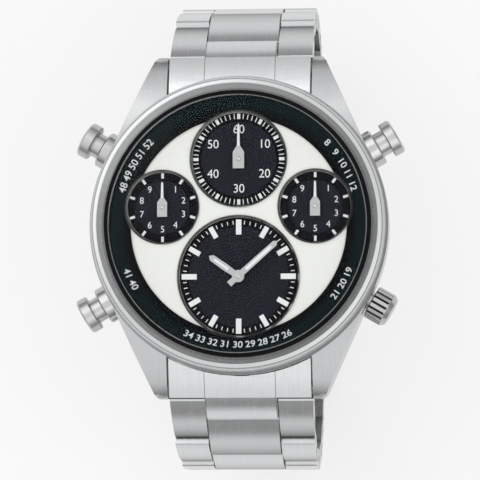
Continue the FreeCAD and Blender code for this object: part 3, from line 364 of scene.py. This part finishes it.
# counter places: middle and radius of each black disc, and the share of it that is turned in rings
counters = {
    "seconds": {"x": 0.0, "y": 9.3 * mm, "radius": 6.6 * mm, "turned": 0.8},
    "tenths": {"x": -10.754 * mm, "y": 2.548 * mm, "radius": 4.998 * mm, "turned": 0.76},
    "hundredths": {"x": 10.754 * mm, "y": 2.548 * mm, "radius": 4.998 * mm, "turned": 0.76},
    "time": {"x": 0.0, "y": -7.25 * mm, "radius": 8.35 * mm, "turned": 0.84},
}


def counterPaint(name, key, mirrored=False):
    counter = counters[key]
    return ringedPaint(name, (counter["x"], counter["y"]), counter["radius"] * counter["turned"], mirrored)


finishes = {
    "caseRound": brushedRound("caseRound"),
    "caseAlong": brushedAlong("caseAlong", steel["tone"]),
    "linkAlong": brushedLinks("linkAlong"),
    "endLinkAlong": brushedAlong("endLinkAlong", steel["endLinkTone"], linkBlocksAndShade["centreHalf"]),
    "polished": polishedSteel("polished"),
    "satin": polishedSteel("satin", rough=steel["satinRough"]),
    "fluted": flutedSteel("fluted"),
    "dialWhite": dialPaint("dialWhite"),
    "handSilver": polishedSteel("handSilver", tone=0.46, rough=0.34),
    "lume": printInk("lume", (0.86, 0.86, 0.87, 1)),
    "inkWhite": printInk("inkWhite", (0.80, 0.81, 0.82, 1)),
    "flange": flangePaint("flange"),
    "rubber": sealRubber("rubber"),
    "crystal": clearCrystal("crystal"),
    "groundGlass": groundGlass("groundGlass"),
    "brass": brass("brass"),
    "moulded": printInk("moulded", (0.7, 0.7, 0.68, 1)),
    "board": printInk("board", (0.03, 0.2, 0.09, 1)),
    "copper": printInk("copper", (0.5, 0.2, 0.08, 1), 0.3),
    "secondsBlack": counterPaint("secondsBlack", "seconds"),
    "splitBlack": counterPaint("splitBlack", "hundredths", mirrored=True),
    "timeBlack": counterPaint("timeBlack", "time"),
}
print("finishes made")

partFinish = {
    "case_middle": "caseAlong", "bezel": "caseRound", "crystal": "crystal", "gaskets": "rubber",
    "case_back": "polished", "dial_plate": "dialWhite", "seconds_subdial": "secondsBlack",
    "split_subdials": "splitBlack", "time_subdial": "timeBlack", "subdial_rims": "polished",
    "time_markers": "lume", "flange_ring": "flange", "movement_holder": "moulded",
    "main_plate": "brass", "train_bridge": "brass", "circuit_board": "board",
    "rechargeable_cell": "polished", "motor_coils": "copper", "pusher_tubes": "polished",
    "end_link_12": "endLinkAlong", "end_link_6": "endLinkAlong", "clasp_cover": "caseAlong",
    "start_pusher": "satin", "reset_pusher": "satin", "mode_pusher": "satin", "crown": "fluted",
}


def finishFor(name):
    if name in partFinish:
        return partFinish[name]
    if name.startswith("link_"):
        return "linkAlong"
    if name.endswith("_hand"):
        return "handSilver"
    if name.endswith("_wheel") or name.endswith("_pinion"):
        return "brass"
    return "rubber" if name == "crown_gasket" else "polished"


# widths in millimetres of the broken edges that catch the light
edges = {"case_middle": 0.12, "bezel": 0.06, "case_back": 0.1, "crown": 0.06, "pusher_tubes": 0.1,
         "start_pusher": 0.16, "reset_pusher": 0.16, "mode_pusher": 0.16, "end_link_12": 0.1, "end_link_6": 0.1,
         "clasp_cover": 0.12, "clasp_inner_blade": 0.08, "clasp_middle_blade": 0.08,
         "clasp_button_right": 0.12, "clasp_button_left": 0.12, "dial_plate": 0.02, "time_markers": 0.03}


breaks = {"weld": 0.000001, "sharpAbove": 27, "bevelAbove": 32, "linkWidth": 0.07, "segments": 2}


def makeSmoothing():
    # joins the faces of a part and keeps only its real edges sharp
    tree = bpy.data.node_groups.new("smoothing", "GeometryNodeTree")
    tree.interface.new_socket("Geometry", in_out="INPUT", socket_type="NodeSocketGeometry")
    tree.interface.new_socket("Geometry", in_out="OUTPUT", socket_type="NodeSocketGeometry")
    start, end = tree.nodes.new("NodeGroupInput"), tree.nodes.new("NodeGroupOutput")
    weld = tree.nodes.new("GeometryNodeMergeByDistance")
    weld.inputs["Distance"].default_value = breaks["weld"]
    angle = tree.nodes.new("GeometryNodeInputMeshEdgeAngle")
    steep = tree.nodes.new("FunctionNodeCompare")
    steep.inputs["B"].default_value = math.radians(breaks["sharpAbove"])
    normal = tree.nodes.new("GeometryNodeSetMeshNormal")
    links = tree.links
    links.new(start.outputs[0], weld.inputs["Geometry"])
    links.new(weld.outputs["Geometry"], normal.inputs["Mesh"])
    links.new(angle.outputs["Unsigned Angle"], steep.inputs["A"])
    links.new(steep.outputs["Result"], normal.inputs["Edge Sharpness"])
    links.new(normal.outputs["Mesh"], end.inputs[0])
    return tree


smoothing = makeSmoothing()


def dress(part, name):
    smooth = part.modifiers.new("smoothing", "NODES")
    smooth.node_group = smoothing
    width = edges.get(name, breaks["linkWidth"] if name.startswith("link_") else 0.0)
    if width:
        bevel = part.modifiers.new("edges", "BEVEL")
        bevel.width, bevel.segments, bevel.limit_method = width * mm, breaks["segments"], "ANGLE"
        bevel.angle_limit = math.radians(breaks["bevelAbove"])
        bevel.harden_normals = True


for name, part in nodes.items():
    part.data.materials.clear()
    part.data.materials.append(finishes[finishFor(name)].material)
    dress(part, name)
print("parts finished")


# ---- printed pieces
def newPiece(name, body, finish, grid):
    mesh = bpy.data.meshes.new(name)
    piece = bpy.data.objects.new(name, mesh)
    bpy.context.scene.collection.objects.link(piece)
    grid.to_mesh(mesh)
    grid.free()
    mesh.materials.append(finishes[finish].material)
    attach(piece, body)
    return piece


def addBar(grid, centre, size, turn=0.0):
    # a flat bar with its length along the turned Y
    made = bmesh.ops.create_cube(grid, size=1.0)["verts"]
    move = Matrix.Translation(centre) @ Matrix.Rotation(turn, 4, "Z") @ Matrix.Diagonal((*size, 1))
    bmesh.ops.transform(grid, matrix=move, verts=made)


def turnedGrid(profile, middle, steps=72):
    # a ring or cap turned about an upright axis through the middle
    grid = bmesh.new()
    rows = []
    for step in range(steps):
        angle = 2 * math.pi * step / steps
        rows.append([grid.verts.new((middle[0] + math.cos(angle) * out, middle[1] + math.sin(angle) * out, up))
                     for out, up in profile])
    for step in range(steps):
        here, there = rows[step], rows[(step + 1) % steps]
        for index in range(len(profile) - 1):
            grid.faces.new((here[index], there[index], there[index + 1], here[index + 1]))
    bmesh.ops.remove_doubles(grid, verts=grid.verts, dist=0.0000001)
    bmesh.ops.recalc_face_normals(grid, faces=grid.faces)
    for face in grid.faces:
        face.smooth = True
    return grid


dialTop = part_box("dial_plate")[1][2]
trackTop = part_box("seconds_subdial")[1][2]
discTop = trackTop - 0.08 * mm
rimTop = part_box("subdial_rims")[1][2]
ink = {"height": 0.02 * mm, "sink": 0.004 * mm, "lift": 0.008 * mm}
lettering = {"capShare": 0.69, "squeeze": 0.95}


def ringSpot(key, clock, reach):
    angle = math.radians(clock)
    counter = counters[key]
    return counter["x"] + math.sin(angle) * reach, counter["y"] + math.cos(angle) * reach


def radialTicks(grid, key, clocks, outer, length, width, height=0.0):
    thick = height or ink["height"]
    for clock in clocks:
        x, y = ringSpot(key, clock, outer - length / 2)
        addBar(grid, Vector((x, y, trackTop + thick / 2 - ink["sink"])), (width, length, thick),
               -math.radians(clock))


def numeralMesh(name, text, height, weight):
    letters = bpy.data.curves.new(name, "FONT")
    letters.body = text
    letters.size = height / lettering["capShare"]
    letters.align_x, letters.align_y = "CENTER", "CENTER"
    letters.extrude = ink["height"] / 2
    letters.offset = height * weight
    holder = bpy.data.objects.new(f"{name}_draft", letters)
    bpy.context.scene.collection.objects.link(holder)
    bpy.context.view_layer.update()
    mesh = bpy.data.meshes.new_from_object(holder)
    bpy.data.objects.remove(holder)
    mesh.transform(Matrix.Diagonal((lettering["squeeze"], 1, 1, 1)))
    mesh.materials.clear()
    return mesh


def addNumerals(grid, name, entries, weight=0.0):
    # each entry: text, height, placing matrix
    for number, (text, height, move) in enumerate(entries):
        mesh = numeralMesh(f"{name}_{number}", text, height, weight)
        mesh.transform(move)
        grid.from_mesh(mesh)
        bpy.data.meshes.remove(mesh)


secondsPrint = {"outer": 0.975, "fine": (0.74 * mm, 0.12 * mm), "block": (0.76 * mm, 0.44 * mm),
                "numeralReach": 0.635, "numeralHeight": 1.2 * mm, "texts": ("60", "10", "20", "30", "40", "50")}


def printSeconds():
    plan, radius = secondsPrint, counters["seconds"]["radius"]
    grid = bmesh.new()
    minutes = [6 * step for step in range(60) if step % 5]
    radialTicks(grid, "seconds", minutes, radius * plan["outer"], *plan["fine"])
    radialTicks(grid, "seconds", range(0, 360, 30), radius * plan["outer"], *plan["block"])
    entries = []
    for step, text in enumerate(plan["texts"]):
        x, y = ringSpot("seconds", 60 * step, radius * plan["numeralReach"])
        entries.append((text, plan["numeralHeight"], Matrix.Translation((x, y, discTop + ink["lift"]))))
    addNumerals(grid, "seconds", entries)
    newPiece("seconds_print", "case", "inkWhite", grid)


splitPrint = {"outer": 0.97, "block": (0.74 * mm, 0.36 * mm), "numeralReach": 0.62, "numeralHeight": 0.9 * mm}


def printSplit(key):
    plan, radius = splitPrint, counters[key]["radius"]
    grid = bmesh.new()
    radialTicks(grid, key, range(0, 360, 36), radius * plan["outer"], *plan["block"])
    entries = []
    for number in range(1, 10):
        x, y = ringSpot(key, 36 * number, radius * plan["numeralReach"])
        entries.append((str(number), plan["numeralHeight"], Matrix.Translation((x, y, discTop + ink["lift"]))))
    addNumerals(grid, key, entries)
    newPiece(f"{key}_print", "case", "inkWhite", grid)


timePrint = {"outer": 7.88 * mm, "fine": (0.52 * mm, 0.11 * mm), "quarterOuter": 8.02 * mm,
             "quarter": (2.12 * mm, 0.74 * mm, 0.215 * mm)}


def printTime():
    plan = timePrint
    grid = bmesh.new()
    radialTicks(grid, "time", [6 * step for step in range(60) if step % 5], plan["outer"], *plan["fine"])
    radialTicks(grid, "time", (0, 90, 180, 270), plan["quarterOuter"], *plan["quarter"])
    newPiece("time_print", "case", "lume", grid)


printSeconds()
printSplit("tenths")
printSplit("hundredths")
printTime()
print("counters printed")

flange = {"inner": 15.2 * mm, "shoulder": 17.6 * mm, "reach": 16.9 * mm, "height": 1.05 * mm, "lift": 0.016 * mm,
          "arcs": ((48, 53, False), (8, 13, False), (40, 42, True), (19, 22, True), (26, 35, True))}


def printFlange():
    # a plain second scale in numbers round the black ring
    low, high = rimTop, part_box("flange_ring")[1][2]
    slope = math.atan2(high - low, flange["shoulder"] - flange["inner"])
    reach = flange["reach"]
    up = low + (reach - flange["inner"]) * math.tan(slope) + flange["lift"]
    entries = []
    for first, last, flip in flange["arcs"]:
        for second in range(first, last):
            move = Matrix.Rotation(-math.radians(second * 6), 4, "Z") @ Matrix.Translation((0, reach, up)) \
                @ Matrix.Rotation(slope, 4, "X") @ Matrix.Rotation(math.pi if flip else 0, 4, "Z")
            entries.append((str(second), flange["height"], move))
    grid = bmesh.new()
    addNumerals(grid, "flange", entries, weight=0.01)
    newPiece("flange_print", "case", "inkWhite", grid)


printFlange()
print("ring printed")

# ---- hands: lume, white needles and pivot caps
hands = {
    "hour": {"body": "hour_set", "counter": "time", "clock": 305.0, "lume": (1.75 * mm, 4.3 * mm, 0.36 * mm)},
    "minute": {"body": "minute_set", "counter": "time", "clock": 48.3, "lume": (1.45 * mm, 6.35 * mm, 0.44 * mm)},
    "seconds": {"body": "seconds_set", "counter": "seconds", "clock": 0.0, "needle": (1.82 * mm, 0.18 * mm)},
    "tenths": {"body": "tenths_set", "counter": "tenths", "clock": 0.0, "needle": (1.3 * mm, 0.17 * mm)},
    "hundredths": {"body": "hundredths_set", "counter": "hundredths", "clock": 0.0,
                   "needle": (1.3 * mm, 0.17 * mm)},
}


def handTop(name):
    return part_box(f"{name}_hand")[1][2]


def closeSlab(grid, low, high):
    grid.faces.new(high)
    grid.faces.new(low[::-1])
    for index in range(len(low)):
        after = (index + 1) % len(low)
        grid.faces.new((low[index], low[after], high[after], high[index]))


def layLume(name):
    # a strip of pale lume with a pointed far end, let into the hand's top
    plan = hands[name]
    start, end, width = plan["lume"]
    x, y = ringSpot(plan["counter"], 0, 0)
    top = handTop(name) - 0.05 * mm + 0.012 * mm
    grid = bmesh.new()
    outline = ((-width / 2, start), (width / 2, start), (width / 2, end - width), (0, end),
               (-width / 2, end - width))
    low = [grid.verts.new((across, along, -0.03 * mm)) for across, along in outline]
    high = [grid.verts.new((across * 0.9, along, 0.0)) for across, along in outline]
    closeSlab(grid, low, high)
    grid.transform(Matrix.Translation((x, y, top)) @ Matrix.Rotation(-math.radians(plan["clock"]), 4, "Z"))
    newPiece(f"{name}_lume", plan["body"], "lume", grid)


def layNeedle(name):
    # the white lacquered front of a small hand
    plan = hands[name]
    start, half = plan["needle"]
    x, y = ringSpot(plan["counter"], 0, 0)
    top = handTop(name)
    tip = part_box(f"{name}_hand")[1][1] - y
    outline = ((-half * 0.9, start), (-half * 0.7, start + 0.8 * mm), (-half * 0.8, tip - 0.3 * mm),
               (0, tip - 0.02 * mm), (half * 0.8, tip - 0.3 * mm), (half * 0.7, start + 0.8 * mm),
               (half * 0.9, start))
    grid = bmesh.new()
    low = [grid.verts.new((x + across, y + along, top - 0.05 * mm)) for across, along in outline]
    high = [grid.verts.new((x + across * 0.94, y + along, top + 0.01 * mm)) for across, along in outline]
    closeSlab(grid, low, high)
    bmesh.ops.recalc_face_normals(grid, faces=grid.faces)
    newPiece(f"{name}_needle", plan["body"], "lume", grid)


cap = {"radius": 0.42 * mm, "rise": 0.1 * mm, "smallRadius": 0.32 * mm, "smallRise": 0.18 * mm}


def capHand(name, radius, rise):
    # a small turned cap with a dimple over the pivot
    plan = hands[name]
    low = handTop(name) - 0.02 * mm
    profile = [(radius, low), (radius, low + rise * 0.7), (radius * 0.88, low + rise),
               (radius * 0.42, low + rise), (radius * 0.3, low + rise * 0.88), (0, low + rise * 0.86)]
    newPiece(f"{name}_cap", plan["body"], "polished",
             turnedGrid(profile, ringSpot(plan["counter"], 0, 0), 32))


for name in ("hour", "minute"):
    layLume(name)
capHand("minute", cap["radius"], cap["rise"])
for name in ("seconds", "tenths", "hundredths"):
    layNeedle(name)
    capHand(name, cap["smallRadius"], cap["smallRise"])
print("hands dressed")

# ---- return springs: each spring's mesh is copied into a coil on the case body, and the part itself is hidden
coils = {"buttons": ("start", "reset", "mode"), "keep": 0.38}


def makeCoil(name):
    spring = nodes[f"{name}_spring"]
    coil = bpy.data.objects.new(f"{name}_coil", spring.data.copy())
    bpy.context.scene.collection.objects.link(coil)
    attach(coil, "case")
    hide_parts(f"{name}_spring")
    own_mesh(coil)


for name in coils["buttons"]:
    makeCoil(name)
print("springs coiled")

# ---- crystal edge
crystalEdge = {"outer": 18.12 * mm, "width": 0.13 * mm, "drop": 0.12 * mm, "dome": 1.0 * mm, "steps": 180}


def makeCrystalEdge():
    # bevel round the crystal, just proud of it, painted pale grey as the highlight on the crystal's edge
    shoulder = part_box("crystal")[1][2] - crystalEdge["dome"]
    out, wide = crystalEdge["outer"], crystalEdge["width"]
    profile = [(out, shoulder - crystalEdge["drop"]), (out, shoulder - 0.02 * mm),
               (out - wide * 0.25, shoulder + 0.015 * mm), (out - wide * 0.8, shoulder + 0.03 * mm),
               (out - wide, shoulder + 0.012 * mm),
               (out - wide, shoulder - crystalEdge["drop"]), (out, shoulder - crystalEdge["drop"])]
    newPiece("crystal_edge", "case", "groundGlass",
             turnedGrid(profile, (0, 0), crystalEdge["steps"]))


makeCrystalEdge()
print("crystal edge made")

# ---- floor, light and camera
stage = {"floorSize": 1.6, "paper": 0.9, "glow": 0.62}
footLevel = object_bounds()[0][2]


def makeFloor():
    grid = bmesh.new()
    bmesh.ops.create_grid(grid, x_segments=1, y_segments=1, size=stage["floorSize"])
    mesh = bpy.data.meshes.new("floor")
    grid.to_mesh(mesh)
    grid.free()
    floor = bpy.data.objects.new("floor", mesh)
    floor.location = (0, 0, footLevel)
    bpy.context.scene.collection.objects.link(floor)
    finish = Finish("floorPaper")
    grain = finish.noise(finish.place(), 300.0, 2.0)
    finish.set(Base_Color=finish.blendColor(grain, gray(stage["paper"] - 0.02), gray(stage["paper"])),
               Roughness=0.8)
    ray = finish.add("ShaderNodeLightPath").socket.node
    seen = Flow(finish, ray.outputs["Is Camera Ray"]) + Flow(finish, ray.outputs["Is Glossy Ray"]) \
        + Flow(finish, ray.outputs["Is Transmission Ray"])
    glow = finish.add("ShaderNodeEmission", {}, {"Color": (1, 1, 1, 1), "Strength": 1.0}, "Emission")
    mix = finish.add("ShaderNodeMixShader", {}, {0: seen * stage["glow"],
                                                 1: Flow(finish, finish.shader.outputs[0]), 2: glow}, "Shader")
    finish.tree.links.new(mix.socket, finish.output.inputs["Surface"])
    mesh.materials.append(finish.material)


lamps = {"key": ((-0.3, 0.25, 0.5), 0.5, 0.55), "fill": ((0.35, -0.25, 0.5), 0.5, 0.5)}


def makeLight(name):
    # a square soft box that looks at the origin
    spot, size, power = lamps[name]
    data = bpy.data.lights.new(name, "AREA")
    data.shape, data.size, data.energy = "SQUARE", size, power
    lamp = bpy.data.objects.new(name, data)
    lamp.location = spot
    lamp.rotation_euler = (Vector((0, 0, 0)) - Vector(spot)).to_track_quat("-Z", "Y").to_euler()
    bpy.context.scene.collection.objects.link(lamp)


sky = {"horizon": 0.24, "low": 0.12, "high": 0.8, "top": 1.12}


def makeWorld():
    # a plain light tent: grey at the horizon, white overhead
    world = bpy.data.worlds.new("studio")
    bpy.context.scene.world = world
    world.use_nodes = True
    tree = world.node_tree
    spot = tree.nodes.new("ShaderNodeTexCoord")
    split = tree.nodes.new("ShaderNodeSeparateXYZ")
    climb = tree.nodes.new("ShaderNodeMapRange")
    for key, value in (("From Min", sky["low"]), ("From Max", sky["high"]),
                       ("To Min", sky["horizon"]), ("To Max", sky["top"])):
        climb.inputs[key].default_value = value
    tree.links.new(spot.outputs["Generated"], split.inputs[0])
    tree.links.new(split.outputs["Z"], climb.inputs["Value"])
    tree.links.new(climb.outputs["Result"], tree.nodes["Background"].inputs["Strength"])
    tree.nodes["Background"].inputs["Color"].default_value = (1, 1, 1, 1)


view = {"distance": 0.45, "tiltRight": 5.0, "tiltDown": 4.9, "lens": 241.0, "sensor": 36.0,
        "aim": (0.21 * mm, -2.14 * mm, 8.0 * mm)}


def makeCamera():
    data = bpy.data.cameras.new("camera")
    data.lens, data.sensor_width = view["lens"], view["sensor"]
    data.clip_start, data.clip_end = 0.01, 10.0
    camera = bpy.data.objects.new("camera", data)
    aim = Vector(view["aim"])
    aside, down = math.radians(view["tiltRight"]), math.radians(view["tiltDown"])
    back = Vector((math.tan(aside), -math.tan(down), 1)).normalized()
    camera.location = aim + back * view["distance"]
    right = Vector((0, 1, 0)).cross(back).normalized()
    up = back.cross(right)
    camera.rotation_euler = Matrix((right, up, back)).transposed().to_euler()
    bpy.context.scene.collection.objects.link(camera)
    bpy.context.scene.camera = camera


makeFloor()
makeWorld()
for name in lamps:
    makeLight(name)
makeCamera()
bpy.context.scene.view_settings.view_transform = "Standard"
print("studio ready")
